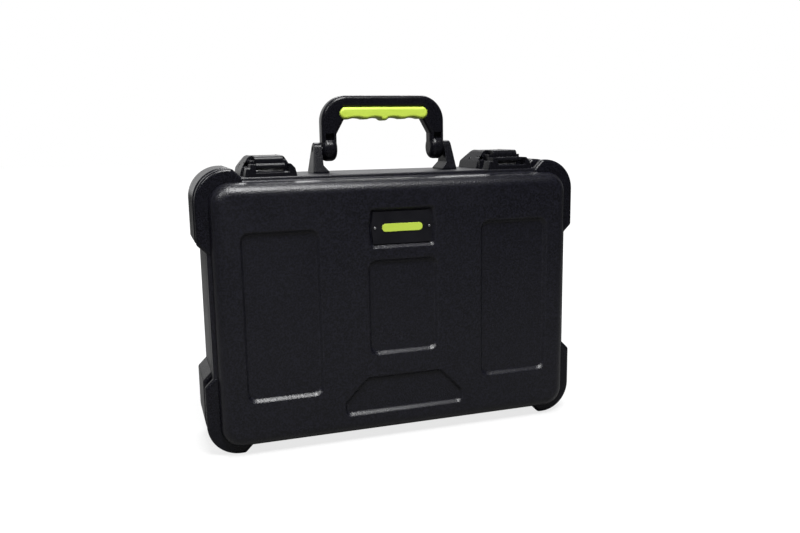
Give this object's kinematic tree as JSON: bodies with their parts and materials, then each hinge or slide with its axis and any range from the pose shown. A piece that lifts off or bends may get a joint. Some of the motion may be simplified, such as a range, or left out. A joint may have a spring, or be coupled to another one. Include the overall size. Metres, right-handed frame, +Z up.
{
  "type": "microphone case",
  "caption": "Moulded black microphone case with stepped domed shells, corner bumpers, two draw-over latches, a swinging handle with a lime grip, and cut foam inside.",
  "frame": {"origin": "on the ground, under the middle of the case's outline, with the case standing on its bottom bumpers and its handle up", "axes": "+X along the width, to the right as seen from the front; +Y from the lid's face to the base's back; +Z up"},
  "size_m": [0.45, 0.132, 0.396],
  "materials": {
    "shell_plastic": "fine moulded pebble grain, satin",
    "bumper_plastic": "finer grain than the shells, satin",
    "hardware_plastic": "fine grain, satin",
    "plate_plastic": "smooth, low gloss, left plain",
    "lime_plastic": "smooth, soft gloss",
    "valance_aluminium": "anodised, brushed along its length",
    "plain_steel": "zinc plated, bright",
    "fastener_steel": "zinc plated, slightly dull",
    "foam": "open-cell foam with a fine porous surface"
  },
  "bodies": {
    "base": {"base_bumper_bottom_left": "bumper_plastic", "base_bumper_bottom_right": "bumper_plastic", "base_bumper_screws": "fastener_steel", "base_bumper_top_left": "bumper_plastic", "base_bumper_top_right": "bumper_plastic", "base_foam_backing": "foam", "base_foam_tray": "foam", "base_shell": "shell_plastic", "base_valance": "valance_aluminium", "handle_bracket_left": "hardware_plastic", "handle_bracket_right": "hardware_plastic", "handle_bracket_screws": "fastener_steel", "handle_pin_left": "plain_steel", "handle_pin_right": "plain_steel", "hinge_leaf_base_left": "plain_steel", "hinge_leaf_base_right": "plain_steel", "hinge_pin_left": "plain_steel", "hinge_pin_right": "plain_steel", "hinge_rivets_base": "fastener_steel", "latch_guard_left": "hardware_plastic", "latch_guard_right": "hardware_plastic", "latch_guard_rivets": "fastener_steel", "latch_pin_left": "plain_steel", "latch_pin_right": "plain_steel"},
    "lid": {"hinge_leaf_lid_left": "plain_steel", "hinge_leaf_lid_right": "plain_steel", "hinge_rivets_lid": "fastener_steel", "keeper_guard_left": "hardware_plastic", "keeper_guard_right": "hardware_plastic", "keeper_left": "plain_steel", "keeper_right": "plain_steel", "keeper_rivets": "fastener_steel", "lid_bumper_bottom_left": "bumper_plastic", "lid_bumper_bottom_right": "bumper_plastic", "lid_bumper_screws": "fastener_steel", "lid_bumper_top_left": "bumper_plastic", "lid_bumper_top_right": "bumper_plastic", "lid_foam": "foam", "lid_shell": "shell_plastic", "lid_valance": "valance_aluminium", "nameplate": "plate_plastic", "nameplate_bar": "lime_plastic", "nameplate_rivets": "fastener_steel"},
    "handle": {"handle_frame": "hardware_plastic", "handle_grip": "lime_plastic"},
    "latch_left": {"latch_lever_left": "hardware_plastic"},
    "latch_right": {"latch_lever_right": "hardware_plastic"}
  },
  "joints": [
    {"name": "lid_hinge", "type": "hinge", "parent": "base", "child": "lid", "pos_m": [0, -0.031, 0.0068], "axis": [1, 0, 0], "range_deg": [0, 100]},
    {"name": "handle_swing", "type": "hinge", "parent": "base", "child": "handle", "pos_m": [0, 0.005, 0.335], "axis": [1, 0, 0], "range_deg": [-90, 90]},
    {"name": "latch_left_lift", "type": "hinge", "parent": "base", "child": "latch_left", "pos_m": [-0.142, 0.014, 0.319], "axis": [-1, 0, 0], "range_deg": [0, 80]},
    {"name": "latch_right_lift", "type": "hinge", "parent": "base", "child": "latch_right", "pos_m": [0.142, 0.014, 0.319], "axis": [-1, 0, 0], "range_deg": [0, 80]}
  ]
}
